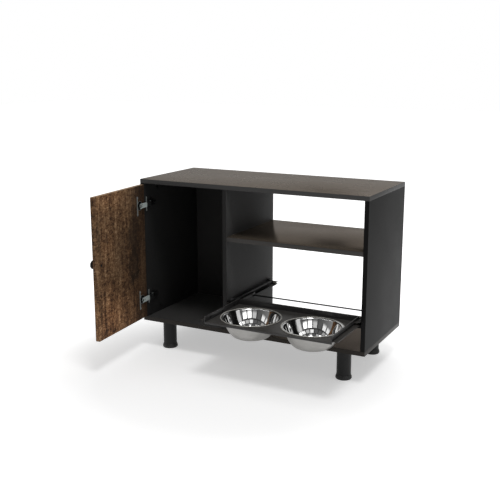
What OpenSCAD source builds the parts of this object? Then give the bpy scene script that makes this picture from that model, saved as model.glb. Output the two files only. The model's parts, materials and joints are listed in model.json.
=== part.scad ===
// Elevated dog feeder with storage: a long low cabinet on four round legs.
// Left: a closed cupboard with an inset plank door on two cup hinges.
// Right: an open bay with a shelf and a pull-out tray that holds two bowls.
// Lengths are in millimetres. X runs to the right, Y to the back, Z up.

/* [Cabinet] */
// Overall width of the cabinet
cab_w = 900; // [860:10:960]
// Overall depth of the cabinet, without the open door and tray
cab_d = 383; // [380:1:400]
// Height of the cabinet body, without the legs
cab_h = 549; // [540:1:600]
// Thickness of every board
board = 16; // [15:1:18]
// Clear width of the cupboard on the left
cupboard_w = 335; // [320:5:345]
// Height of the underside of the shelf above the underside of the body
shelf_z = 346; // [330:1:370]
// Thickness of the back of the cupboard
back_t = 5; // [3:1:6]

/* [Legs] */
// Height of the legs
leg_h = 107; // [90:1:140]
// Diameter of the legs
leg_d = 51; // [44:1:54]
// Distance of the leg axis from the side of the cabinet
leg_in_x = 90; // [70:5:110]
// Distance of the leg axis from the front and from the back
leg_in_y = 44; // [40:1:60]

/* [Door] */
// Gap at each side of the door
gap_side = 1.5; // [1.5:0.1:2]
// Gap above and below the door
gap_end = 3.5; // [2:0.5:5]
// Angle at which the door stands open
door_open = 85.4; // [0:0.1:95]
// Distance of the hinge centres from the underside and the top of the body
hinge_in = 94.5; // [80:0.5:120]
// Height of the knob above the underside of the body
knob_z = 288; // [240:1:320]
// Diameter of the knob
knob_d = 31; // [26:1:36]

/* [Tray] */
// How far the tray is pulled out
tray_out = 200; // [0:1:200]
// Depth of the tray from front to back
tray_d = 248; // [240:1:260]
// Height of the tray floor's upper face above the underside of the body
tray_z = 105; // [104.5:0.5:107]
// Height of the tray's gallery above its floor
gallery_h = 20.5; // [18:0.5:24]

/* [Bowls] */
// Diameter of a bowl over its rolled rim
bowl_d = 217; // [212:1:220]
// Depth of a bowl
bowl_depth = 72; // [60:1:80]
// Distance between the two bowl centres
bowl_pitch = 233; // [226:1:236]

/* [Hidden] */
$fn = 64;

// main lines of the cabinet
div_x = board + cupboard_w;            // left face of the divider
bay_x0 = div_x + board;                // left end of the open bay
bay_x1 = cab_w - board;                // right end of the open bay
bay_c = (bay_x0 + bay_x1) / 2;
in_z0 = board;
in_z1 = cab_h - board;

// door
door_w = cupboard_w - 2 * gap_side;
door_h = in_z1 - in_z0 - 2 * gap_end;
door_x = board + gap_side;
door_z = in_z0 + gap_end;
pivot = [7.3, 4.7];                    // swing axis of the door, seen from above
hinge_zs = [hinge_in, cab_h - hinge_in];
cup_s = 34;                            // cup centre from the hinge edge of the door
cup_r = 17.5;
knob_s = 304;
knob_out = 24;
arm_pin = [26, 25];                    // pin of the swinging arm, seen from above

// tray and runners
run_gap = 24;                          // bay side to tray side
tray_x0 = bay_x0 + run_gap;
tray_x1 = bay_x1 - run_gap;
tray_t = 1.5;
wall_t = 2;
run_z = 98;                            // underside of the cabinet runners
run_h = 28;
run_c = run_z + run_h / 2;
run_y0 = 28;                           // front and back end of the cabinet runners
run_y1 = 345;
hole_r = bowl_d / 2 - 6;
bowl_y = 120;                          // bowl centres from the tray's front edge

// where everything stands: the origin is on the floor under the middle of the box
function turn(p, a) = [p[0] * cos(a) - p[1] * sin(a), p[0] * sin(a) + p[1] * cos(a)];
door_tip = pivot + turn([door_x + door_w - pivot[0], -pivot[1]], -door_open);
y_front = min(0, door_tip[1], -tray_out);
y_mid = (y_front + cab_d) / 2;

module place() translate([-cab_w / 2, -y_mid, leg_h]) children();
module at_door() translate([pivot[0], pivot[1], 0]) rotate([0, 0, -door_open])
    translate([-pivot[0], -pivot[1], 0]) children();
module at_arm() translate([arm_pin[0], arm_pin[1], 0]) rotate([0, 0, -door_open])
    translate([-arm_pin[0], -arm_pin[1], 0]) children();
module at_tray() translate([0, -tray_out, 0]) children();
module at_cage() translate([0, -tray_out / 2, 0]) children();
module mirror_bay() translate([2 * bay_c, 0, 0]) mirror([1, 0, 0]) children();

module along_x(r, l) rotate([0, 90, 0]) cylinder(r = r, h = l);
module along_y(r, l) rotate([-90, 0, 0]) cylinder(r = r, h = l);

// ------------------------------------------------------------ cabinet joints
dowel_ys = [52, 331];
cam_ys = [92, 291];
uprights = [board / 2, div_x + board / 2, cab_w - board / 2];
dowel_r = 4;
cam_in = 24;

// wooden dowels between the uprights and the top and bottom boards
module dowel_set(r) {
    for (x = uprights, y = dowel_ys) {
        translate([x, y, board - 11]) cylinder(r = r, h = 30);
        translate([x, y, cab_h - board - 19]) cylinder(r = r, h = 30);
    }
}
// round cams let into the inner faces of the uprights
cam_faces = [[board, -1], [div_x, 1], [bay_x1, 1]];
module cam_set(r, d) {
    for (f = cam_faces, y = cam_ys, z = [in_z0 + cam_in, in_z1 - cam_in])
        translate([f[0], y, z]) rotate([0, f[1] * 90, 0]) cylinder(r = r, h = d);
}
module bolt_set(r, extra) {
    for (i = [0:2], y = cam_ys) {
        x = uprights[i];
        translate([x, y, board - 10 - extra]) cylinder(r = r, h = 10 + cam_in - 7.6 + extra);
        translate([x, y, in_z1 - cam_in + 7.6]) cylinder(r = r, h = 10 + cam_in - 7.6 + extra);
    }
}
// nail positions round the back of the cupboard
nail_xz = concat([for (x = [40, 130, 221, 327]) [x, board / 2 + 4]],
                 [for (x = [40, 130, 221, 327]) [x, cab_h - board / 2 - 4]],
                 [for (z = [120, 274, 430]) [board / 2 + 3, z]],
                 [for (z = [120, 274, 430]) [div_x + 4.5, z]]);
module nail_set(r, l) for (p = nail_xz) translate([p[0], cab_d - l, p[1]]) along_y(r, l);
module back_rebate() translate([board / 2, cab_d - back_t, board / 2])
    cube([cupboard_w + board, back_t + 1, cab_h - board]);

pin_ys = [50, 333];
leg_xy = [for (x = [leg_in_x, cab_w - leg_in_x], y = [leg_in_y, cab_d - leg_in_y]) [x, y]];

module top_panel() color([0.17, 0.165, 0.16]) place() difference() {
    translate([0, 0, cab_h - board]) cube([cab_w, cab_d, board]);
    back_rebate();
    dowel_set(dowel_r + 0.05);
    bolt_set(3.05, 0.1);
    nail_set(0.9, 22);
}

module bottom_panel() color([0.17, 0.165, 0.16]) place() difference() {
    cube([cab_w, cab_d, board]);
    back_rebate();
    dowel_set(dowel_r + 0.05);
    bolt_set(3.05, 0.1);
    nail_set(0.9, 22);
    for (p = leg_xy) translate([p[0], p[1], -1]) cylinder(r = 6.05, h = 15);
}

module upright(x) difference() {
    translate([x, 0, in_z0]) cube([board, cab_d, in_z1 - in_z0]);
    back_rebate();
    dowel_set(dowel_r + 0.05);
    cam_set(7.5, 12.2);
    bolt_set(3.05, 0.1);
    nail_set(0.9, 22);
    plate_screw_set(1.8);
    runner_screw_set(1.8);
    shelf_pin_set(2.55);
}
module left_side_panel() color([0.18, 0.18, 0.18]) place() upright(0);
module divider_panel() color([0.19, 0.19, 0.19]) place() upright(div_x);
module right_side_panel() color([0.27, 0.27, 0.27]) place() upright(bay_x1);

module shelf() color([0.18, 0.175, 0.17]) place()
    translate([bay_x0, 0, shelf_z]) difference() {
        cube([bay_x1 - bay_x0, cab_d, board]);
        // shallow seats for the four shelf pins
        for (x = [-1, bay_x1 - bay_x0 - 8.2], y = pin_ys)
            translate([x, y - 2.7, -1]) cube([9.2, 5.4, 3.6]);
    }
module shelf_pin_set(r) {
    for (y = pin_ys) {
        translate([bay_x0 - 8, y, shelf_z]) along_x(r, 8 + 8);
        translate([bay_x1 - 8, y, shelf_z]) along_x(r, 8 + 8);
    }
}
module shelf_pins() color([0.75, 0.75, 0.76]) place() {
    for (y = pin_ys) {
        translate([bay_x0 - 7.8, y, shelf_z]) along_x(2.5, 7.8 + 7.8);
        translate([bay_x1 - 7.8, y, shelf_z]) along_x(2.5, 7.8 + 7.8);
    }
}

module back_panel() color([0.1, 0.1, 0.1]) place() difference() {
    translate([board / 2 + 0.5, cab_d - back_t, board / 2 + 0.5])
        cube([cupboard_w + board - 1, back_t, cab_h - board - 1]);
    nail_set(0.95, 30);
    nail_set(2.3, 1.2);
}
module back_nails() color([0.6, 0.6, 0.6]) place() for (p = nail_xz)
    translate([p[0], cab_d - 20, p[1]]) {
        along_y(0.8, 19);
        translate([0, 18.9, 0]) along_y(2.1, 0.9);
    }
module wood_dowels() color([0.8, 0.65, 0.45]) place() {
    for (x = uprights, y = dowel_ys, z = [board - 10.5, cab_h - board - 18.5]) translate([x, y, z]) {
        translate([0, 0, 1]) cylinder(r = dowel_r, h = 27);
        cylinder(r1 = dowel_r - 1, r2 = dowel_r, h = 1);
        translate([0, 0, 28]) cylinder(r1 = dowel_r, r2 = dowel_r - 1, h = 1);
    }
}
module cam_locks() color([0.7, 0.7, 0.7]) place()
    for (f = cam_faces, y = cam_ys, z = [in_z0 + cam_in, in_z1 - cam_in])
        translate([f[0], y, z]) rotate([0, f[1] * 90, 0]) difference() {
            cylinder(r = 7.4, h = 12);
            for (a = [45, 135]) rotate([0, 0, a]) translate([-4, -0.7, -1]) cube([8, 1.4, 3.5]);
        }
module cam_bolts() color([0.72, 0.72, 0.7]) place() {
    for (x = uprights, y = cam_ys) {
        translate([x, y, board - 10]) cylinder(r = 3, h = 10 + cam_in - 7.7);
        translate([x, y, in_z1 - cam_in + 7.7]) cylinder(r = 3, h = 10 + cam_in - 7.7);
    }
}

// ------------------------------------------------------------ legs
module legs() color([0.09, 0.09, 0.09]) place() for (p = leg_xy)
    translate([p[0], p[1], 0]) difference() {
        translate([0, 0, -leg_h + 5]) rotate_extrude()
            polygon([[0, 0], [leg_d / 2, 0], [leg_d / 2, leg_h - 6.5], [leg_d / 2 - 1.5, leg_h - 5], [0, leg_h - 5]]);
        translate([0, 0, -36]) cylinder(r = 4.05, h = 40);
    }
module leg_bolts() color([0.65, 0.65, 0.65]) place() for (p = leg_xy)
    translate([p[0], p[1], -35]) cylinder(r = 4, h = 35 + 13);
module leg_inserts() color([0.7, 0.65, 0.5]) place() for (p = leg_xy)
    translate([p[0], p[1], 0.2]) difference() {
        cylinder(r = 6, h = 13.6);
        translate([0, 0, -1]) cylinder(r = 4.05, h = 16);
    }
module foot_caps() color([0.06, 0.06, 0.06]) place() for (p = leg_xy)
    translate([p[0], p[1], -leg_h]) rotate_extrude()
        polygon([[0, 2], [leg_d / 2 + 2.4, 2], [leg_d / 2 + 3.4, 3], [leg_d / 2 + 3.4, 6], [leg_d / 2 + 2.6, 10],
                 [leg_d / 2 + 1.3, 15], [leg_d / 2 + 0.1, 16.5], [leg_d / 2 + 0.1, 4.9], [0, 4.9]]);
module foot_pads() color([0.2, 0.2, 0.2]) place() for (p = leg_xy)
    translate([p[0], p[1], -leg_h]) cylinder(r = leg_d / 2 + 1, h = 2);

// ------------------------------------------------------------ door
module door_panel() color([0.36, 0.26, 0.19]) place() at_door() difference() {
    translate([door_x, 0, door_z]) cube([door_w, board, door_h]);
    for (z = hinge_zs) translate([door_x + cup_s, board - 12.6, z]) along_y(cup_r, 14);
    for (z = hinge_zs, k = [-31, 31]) translate([door_x + cup_s + 16.5, board - 11.5, z + k]) along_y(1.1, 13);
    translate([door_x + knob_s, -1, knob_z]) along_y(2.2, board + 2);
}
module door_knob() color([0.05, 0.05, 0.05]) place() at_door()
    translate([door_x + knob_s, 0, knob_z]) rotate([90, 0, 0]) difference() {
        rotate_extrude() polygon([[0, 0], [8.5, 0], [8.5, 1.5], [6.2, 4], [5.6, 7], [6.6, 10], [knob_d / 2 - 3.5, 13],
            [knob_d / 2 - 1, 14.8], [knob_d / 2, 16.8], [knob_d / 2, 18.2], [knob_d / 2 - 1, 20.5], [knob_d / 2 - 4, 22.7],
            [knob_d / 2 - 8, 23.8], [0, knob_out]]);
        translate([0, 0, -1]) cylinder(r = 2.05, h = 14.5);
    }
module knob_screw() color([0.7, 0.7, 0.72]) place() at_door() translate([door_x + knob_s, 0, knob_z]) {
    translate([0, -13, 0]) along_y(2, 13 + board + 0.5);
    difference() {
        translate([0, board, 0]) along_y(4, 2.2);
        for (a = [0, 90]) translate([0, board + 1.7, 0]) rotate([0, a, 0]) translate([-2.2, 0, -0.45]) cube([4.4, 1, 0.9]);
    }
}

// stamped cup with its flange: the mouth of the cup faces the cupboard
module cup_shape() difference() {
    union() {
        translate([0, -12.5, 0]) along_y(cup_r - 0.1, 12.8);
        translate([13.5, 0, -34]) cube([6, 1.2, 68]);
        for (k = [-34, 34]) translate([16.5, 0, k]) along_y(3, 1.2);
    }
    translate([0, -11.5, 0]) along_y(cup_r - 1.1, 20);
    for (k = [-31, 31]) translate([16.5, -1, k]) along_y(1.5, 4);
}
module hinge_cups() color([0.78, 0.79, 0.8]) place() at_door()
    for (z = hinge_zs) translate([door_x + cup_s, board, z]) cup_shape();
module cup_screws() color([0.72, 0.73, 0.74]) place() at_door()
    for (z = hinge_zs, k = [-31, 31]) translate([door_x + cup_s + 16.5, board, z + k]) {
        translate([0, -11, 0]) along_y(1, 12);
        difference() {
            translate([0, 1.2, 0]) along_y(2.7, 1.4);
            for (a = [0, 90]) translate([0, 1.9, 0]) rotate([0, a, 0]) translate([-1.7, 0, -0.35]) cube([3.4, 1, 0.7]);
        }
    }
// two cheeks in the cup that carry its cross pin
module cup_yokes() color([0.7, 0.71, 0.72]) place() at_door()
    for (z = hinge_zs) translate([door_x + cup_s, board, z]) difference() {
        union() {
            for (k = [-6.2, 5]) translate([1, -11.5, k]) cube([8, 18.2, 1.2]);
            translate([1, -11.5, -6.2]) cube([8, 1.2, 12.4]);
        }
        translate([5, 4.6, -10]) cylinder(r = 1.55, h = 20);
    }
module cup_yoke_pins() color([0.8, 0.81, 0.82]) place() at_door()
    for (z = hinge_zs) translate([door_x + cup_s + 5, board + 4.6, z - 6.4]) cylinder(r = 1.5, h = 12.8);

// swinging arm: a pressed channel that pivots on the cabinet and reaches the cup
module hinge_arms() color([0.78, 0.79, 0.8]) place() at_arm()
    for (z = hinge_zs) translate([arm_pin[0], arm_pin[1], z]) difference() {
        union() {
            translate([-4, 1.6, -8.2]) cube([63, 1.4, 16.4]);
            for (k = [-8.2, 7]) translate([0, 0, k]) linear_extrude(height = 1.2)
                polygon([[-5, -1.5], [-3.5, -3], [66, -3], [72, -2.2], [73, 0], [72, 2.2], [66, 3], [-3.5, 3], [-5, 1.5]]);
            translate([62, 0, -8.2]) cylinder(r = 1.4, h = 16.4);
        }
        translate([0, 0, -20]) cylinder(r = 2.08, h = 40);
    }
module hinge_pins() color([0.82, 0.83, 0.84]) place() for (z = hinge_zs)
    translate([arm_pin[0], arm_pin[1], z - 10.6]) {
        cylinder(r = 2, h = 21.2);
        cylinder(r = 2.8, h = 0.5);
        translate([0, 0, 20.7]) cylinder(r = 2.8, h = 0.5);
    }
// mounting plate: upright wings on the side board and two ears for the pin
module hinge_plates() color([0.74, 0.75, 0.76]) place() for (z = hinge_zs)
    translate([board, 0, z]) difference() {
        union() {
            translate([0, 11, -27]) cube([1.2, 5, 54]);
            translate([0, 15.5, -10.1]) cube([1.2, 4, 20.2]);
            translate([0, 19, -10.1]) cube([2, 48, 20.2]);
            for (k = [-19, 10]) translate([0, 36, k]) cube([2, 9, 9]);
            for (k = [-10.1, 8.7]) translate([0, 0, k]) linear_extrude(height = 1.4)
                polygon([[0, 19], [11, 19], [14, 21.5], [14, 28.5], [11, 31], [0, 31]]);
        }
        translate([arm_pin[0] - board, arm_pin[1], -20]) cylinder(r = 2.03, h = 40);
        for (k = [-14, 14]) translate([-1, 40.5, k]) along_x(1.9, 4);
        translate([-1, 58, 0]) along_x(2.1, 4);
    }
module plate_screw_set(r) for (z = hinge_zs, k = [-14, 14])
    translate([board - 12, 40.5, z + k]) along_x(r, 13);
module hinge_plate_screws() color([0.7, 0.71, 0.72]) place() for (z = hinge_zs, k = [-14, 14])
    translate([board, 40.5, z + k]) {
        translate([-11.5, 0, 0]) along_x(1.7, 13.5);
        difference() {
            translate([2, 0, 0]) along_x(3.5, 1.6);
            for (a = [0, 90]) translate([2.9, 0, 0]) rotate([a, 0, 0]) translate([0, -2, -0.4]) cube([1, 4, 0.8]);
        }
    }
// fixed arm body behind the pin, and its adjusting screw
module hinge_base_arms() color([0.76, 0.77, 0.78]) place() for (z = hinge_zs)
    translate([board + 2, 0, z]) difference() {
        union() {
            translate([0, 33, -8]) cube([6, 33, 16]);
            translate([0, 33, -8]) cube([8, 10, 16]);
        }
        translate([1.4, 34.4, -6.6]) cube([10, 7.2, 13.2]);
        translate([-1, 58, 0]) along_x(2.1, 10);
    }
module hinge_adjusters() color([0.62, 0.63, 0.64]) place() for (z = hinge_zs)
    translate([board, 58, z]) {
        along_x(2, 8);
        difference() {
            translate([8, 0, 0]) along_x(4, 2);
            for (a = [0, 90]) translate([9.2, 0, 0]) rotate([a, 0, 0]) translate([0, -2.4, -0.45]) cube([1, 4.8, 0.9]);
        }
    }

// ------------------------------------------------------------ runners
// the right cabinet runner is the left one turned half a turn about the Y axis
module turn_bay() translate([2 * bay_c, 0, 2 * run_c]) rotate([0, 180, 0]) children();
screw_ys = [45, 186, 318];
// rolled channel with turned-in lips that opens towards the tray
module cabinet_runner() difference() {
    union() {
        translate([bay_x0, run_y1, run_z]) rotate([90, 0, 0]) linear_extrude(height = run_y1 - run_y0)
            polygon([[0, 0], [17, 0], [17, 5.5], [15.5, 5.5], [15.5, 1.5], [1.5, 1.5],
                     [1.5, 26.5], [15.5, 26.5], [15.5, 22.5], [17, 22.5], [17, 28], [0, 28]]);
        // tab at the front, left standing at the top edge only
        translate([bay_x0, 2, run_z + 22]) cube([1.5, run_y0 - 1.9, 6]);
        translate([bay_x0, 2, run_z + 26.5]) cube([17, run_y0 - 1.9, 1.5]);
    }
    for (y = screw_ys) translate([bay_x0, y, run_c]) {
        translate([-1, 0, 0]) along_x(1.85, 4);
        rotate([0, 90, 0]) cylinder(r1 = 1.85, r2 = 3.35, h = 1.51);
    }
}
module left_cabinet_runner() color([0.12, 0.12, 0.12]) place() cabinet_runner();
module right_cabinet_runner() color([0.12, 0.12, 0.12]) place() turn_bay() cabinet_runner();

module runner_screw_half(r) for (y = screw_ys) translate([bay_x0 - 12, y, run_c]) along_x(r, 12.5);
module runner_screw_set(r) { runner_screw_half(r); turn_bay() runner_screw_half(r); }
module runner_screw() for (y = screw_ys) translate([bay_x0, y, run_c]) difference() {
    union() {
        translate([-11.5, 0, 0]) along_x(1.7, 12);
        rotate([0, 90, 0]) cylinder(r1 = 1.7, r2 = 3.2, h = 1.45);
    }
    for (a = [0, 90]) translate([0.9, 0, 0]) rotate([a, 0, 0]) translate([0, -1.9, -0.35]) cube([1, 3.8, 0.7]);
}
module runner_screws() color([0.72, 0.73, 0.74]) place() { runner_screw(); turn_bay() runner_screw(); }

// stop block behind, bumper in front and end clip at the back of each cabinet runner
module rear_stop() translate([bay_x0, 327, run_z + run_h]) cube([13, 18, 5]);
module rear_stops() color([0.05, 0.05, 0.05]) place() { rear_stop(); turn_bay() rear_stop(); }
module front_bumper() translate([bay_x0 + 4, 14, run_z + run_h]) cube([9, 17, 2.4]);
module front_bumpers() color([0.3, 0.3, 0.3]) place() { front_bumper(); turn_bay() front_bumper(); }
module end_clip() {
    translate([bay_x0, run_y1, run_z]) cube([1.5, 37, 14]);
    translate([bay_x0, run_y1, run_z]) cube([19, 37, 1.5]);
    // turned-up end with two short prongs
    translate([bay_x0, 380.6, run_z]) cube([18, 1.4, 14]);
    translate([bay_x0 + 17, 380.6, run_z + 11.6]) cube([7, 1.4, 2.4]);
    translate([bay_x0 + 17, 380.6, run_z + 3.4]) cube([6, 1.4, 2.6]);
}
module runner_end_clips() color([0.78, 0.79, 0.78]) place() { end_clip(); turn_bay() end_clip(); }

// folded runner that moves with the tray: a ledge with an upturned lip in front, and behind it
// a crown against the tray with two brims that stay in the channel
head_y = 195;
rivet_ys = [40, 124, 208];
rod_y = 376;
rod_r = 2.6;
rod_z = tray_z + 0.5;
module tray_runner() difference() {
    union() {
        translate([bay_x0, 378, run_c]) rotate([90, 0, 0]) linear_extrude(height = 378 - head_y)
            polygon([[24, -4], [24, 4], [10, 4], [10, 7.5], [4, 7.5], [4, 6.3], [8.8, 6.3], [8.8, 2.8], [22.5, 2.8],
                     [22.5, -2.8], [8.8, -2.8], [8.8, -6.3], [4, -6.3], [4, -7.5], [10, -7.5], [10, -4]]);
        translate([bay_x0, head_y + 1, run_c]) rotate([90, 0, 0]) linear_extrude(height = head_y + 1)
            polygon([[24, -4], [24, 4], [22.5, 4], [22.5, -2.8], [5.2, -2.8], [5.2, -1.2], [4, -1.2], [4, -4]]);
        translate([bay_x0 + 19, 370, run_c - 10.5]) cube([5, 10, 16.5]);
    }
    translate([bay_x0 + 10, rod_y, rod_z]) along_x(rod_r + 0.05, 30);
    for (y = rivet_ys) translate([bay_x0 + 20, y, run_c]) along_x(2.05, 10);
}
module left_tray_runner() color([0.13, 0.13, 0.13]) place() at_tray() tray_runner();
module right_tray_runner() color([0.13, 0.13, 0.13]) place() at_tray() mirror_bay() tray_runner();
module tray_rivet() for (y = rivet_ys) translate([tray_x0 - 1.5, y, run_c]) {
    along_x(2, 1.5 + wall_t);
    translate([-0.8, 0, 0]) along_x(2.5, 0.8);
    translate([1.5 + wall_t, 0, 0]) along_x(3.2, 0.8);
}
module tray_rivets() color([0.2, 0.2, 0.2]) place() at_tray() { tray_rivet(); mirror_bay() tray_rivet(); }
module tie_rod() color([0.15, 0.15, 0.15]) place() at_tray()
    translate([bay_x0 + 19.5, rod_y, rod_z]) along_x(rod_r, bay_x1 - bay_x0 - 39);
module rod_rings() color([0.5, 0.5, 0.5]) place() at_tray()
    for (x = [tray_x0 + 0.1, tray_x1 - 2.1]) translate([x, rod_y, rod_z]) difference() {
        along_x(rod_r + 1.4, 2);
        translate([-1, 0, 0]) along_x(rod_r + 0.02, 4);
    }

// ball retainers run between the two runners at half the tray's speed
cage_y = 195;
cage_l = 60;
ball_r = 2.2;
ball_ys = [for (i = [0:3]) cage_y + 9 + 14 * i];
module retainer() difference() {
    union() {
        translate([bay_x0 + 2.6, cage_y, run_c - 10.4]) cube([1, cage_l, 20.8]);
        for (z = [-10.4, 9.4]) translate([bay_x0 + 2.6, cage_y, run_c + z]) cube([7.4, cage_l, 1]);
    }
    for (y = ball_ys, z = [-10, 10]) translate([bay_x0 + 7, y, run_c + z - 2]) cylinder(r = ball_r + 0.2, h = 4);
}
module ball_retainers() color([0.75, 0.76, 0.78]) place() at_cage() { retainer(); mirror_bay() retainer(); }
module balls() for (y = ball_ys, z = [-10, 10]) translate([bay_x0 + 7, y, run_c + z]) sphere(r = ball_r, $fn = 32);
module bearing_balls() color([0.85, 0.85, 0.86]) place() at_cage() { balls(); mirror_bay() balls(); }

// ------------------------------------------------------------ tray and bowls
bowl_xs = [bay_c - bowl_pitch / 2, bay_c + bowl_pitch / 2];
module side_wall() {
    translate([tray_x0, 0, tray_z - tray_t]) cube([wall_t, tray_d, gallery_h + tray_t]);
    // hem folded down inside the top edge
    translate([tray_x0 + wall_t - 0.1, 0, tray_z + gallery_h - 9.5]) cube([1.6, tray_d - wall_t + 0.1, 9.5]);
}
module feeding_tray() color([0.16, 0.155, 0.15]) place() at_tray() difference() {
    union() {
        translate([tray_x0, 0, tray_z - tray_t]) cube([tray_x1 - tray_x0, tray_d, tray_t]);
        translate([tray_x0, 0, tray_z - 6]) cube([tray_x1 - tray_x0, tray_t, 6]);
        side_wall();
        mirror_bay() side_wall();
        translate([tray_x0, tray_d - wall_t, tray_z - tray_t]) cube([tray_x1 - tray_x0, wall_t, gallery_h + tray_t]);
    }
    for (x = bowl_xs) translate([x, bowl_y, tray_z - 10]) cylinder(r = hole_r, h = 20, $fn = 96);
    for (y = rivet_ys) translate([tray_x0 - 3, y, run_c]) along_x(2.05, tray_x1 - tray_x0 + 6);
}

// pressed bowl with a rolled rim that rests on the tray
module bowl_shape() {
    r = bowl_d / 2;
    b = -bowl_depth + 2.8;                     // underside, from the tray's upper face
    w = 1;
    // side of the bowl: steeper and steeper towards the rim
    function side(i, d) = let (u = 4.5 * i / 55, m = 3.2145 * pow(u, 1.6), q = sqrt(1 + m * m))
        [r - 64.5 + 4.5 * i - d * m / q, b + 68 * pow(u, 2.6) + d / q];
    rotate_extrude($fn = 96) polygon(concat(
        // outside, from the middle of the base up to the rim
        [[0, b + 1], [34, b + 1], [39, b + 0.2], [44, b]],
        [for (i = [1:12]) side(i, 0)],
        [[r - 9.6, -2.2], [r - 8.6, 0.02], [r - 2.2, 0.02]],
        // rolled rim
        [for (a = [-60:30:120]) [r - 1.5 + 1.5 * cos(a), 1.55 + 1.5 * sin(a)]],
        [[r - 6, 2.6], [r - 9, 1.4], [r - 10.5, -1.8]],
        // inside, back down to the base
        [for (i = [12:-1:1]) side(i, w)],
        [[44, b + w + 0.1], [39.4, b + w + 0.2], [34.4, b + 2 * w], [0, b + 2 * w]]));
}
module left_bowl() color([0.82, 0.83, 0.84]) place() at_tray() translate([bowl_xs[0], bowl_y, tray_z]) bowl_shape();
module right_bowl() color([0.82, 0.83, 0.84]) place() at_tray() translate([bowl_xs[1], bowl_y, tray_z]) bowl_shape();

top_panel();
bottom_panel();
left_side_panel();
right_side_panel();
divider_panel();
shelf();
back_panel();
back_nails();
wood_dowels();
cam_locks();
cam_bolts();
shelf_pins();
legs();
leg_bolts();
leg_inserts();
foot_caps();
foot_pads();
door_panel();
door_knob();
knob_screw();
hinge_cups();
cup_screws();
cup_yokes();
cup_yoke_pins();
hinge_arms();
hinge_pins();
hinge_plates();
hinge_base_arms();
hinge_plate_screws();
hinge_adjusters();
left_cabinet_runner();
right_cabinet_runner();
runner_screws();
rear_stops();
front_bumpers();
runner_end_clips();
feeding_tray();
left_tray_runner();
right_tray_runner();
tray_rivets();
tie_rod();
rod_rings();
ball_retainers();
bearing_balls();
left_bowl();
right_bowl();
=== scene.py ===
import json
import math
import bpy
import bmesh
from mathutils import Matrix, Vector


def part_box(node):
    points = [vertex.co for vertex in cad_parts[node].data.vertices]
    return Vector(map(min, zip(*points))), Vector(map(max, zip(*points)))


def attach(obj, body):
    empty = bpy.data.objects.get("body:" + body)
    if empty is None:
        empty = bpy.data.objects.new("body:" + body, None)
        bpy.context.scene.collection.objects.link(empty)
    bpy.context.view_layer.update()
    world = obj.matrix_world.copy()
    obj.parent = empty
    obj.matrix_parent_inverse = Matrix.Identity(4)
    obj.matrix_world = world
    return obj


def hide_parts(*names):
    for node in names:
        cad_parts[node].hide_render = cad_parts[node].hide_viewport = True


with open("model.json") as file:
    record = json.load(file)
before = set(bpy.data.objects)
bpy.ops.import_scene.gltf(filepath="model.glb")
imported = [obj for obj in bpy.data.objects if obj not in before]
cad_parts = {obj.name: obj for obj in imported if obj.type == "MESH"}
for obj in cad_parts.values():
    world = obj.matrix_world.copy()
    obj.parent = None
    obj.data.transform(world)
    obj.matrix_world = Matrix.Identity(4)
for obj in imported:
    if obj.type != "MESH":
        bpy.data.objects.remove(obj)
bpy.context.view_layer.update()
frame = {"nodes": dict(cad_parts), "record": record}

# ---------------------------------------------------------------- camera
cam_data = bpy.data.cameras.new("camera")
cam = bpy.data.objects.new("camera", cam_data)
bpy.context.scene.collection.objects.link(cam)
cam_data.sensor_fit = "AUTO"
cam_data.sensor_width = 36.0
cam_data.lens = 59.70
cam_data.clip_start = 0.05
cam_data.clip_end = 60.0
cam.location = (1.3369, -2.55731, 1.0835)
cam.rotation_euler = (math.radians(90.0 - 12.827), 0.0, math.radians(27.587))
bpy.context.scene.camera = cam
bpy.context.scene.view_settings.view_transform = "Standard"


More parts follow.
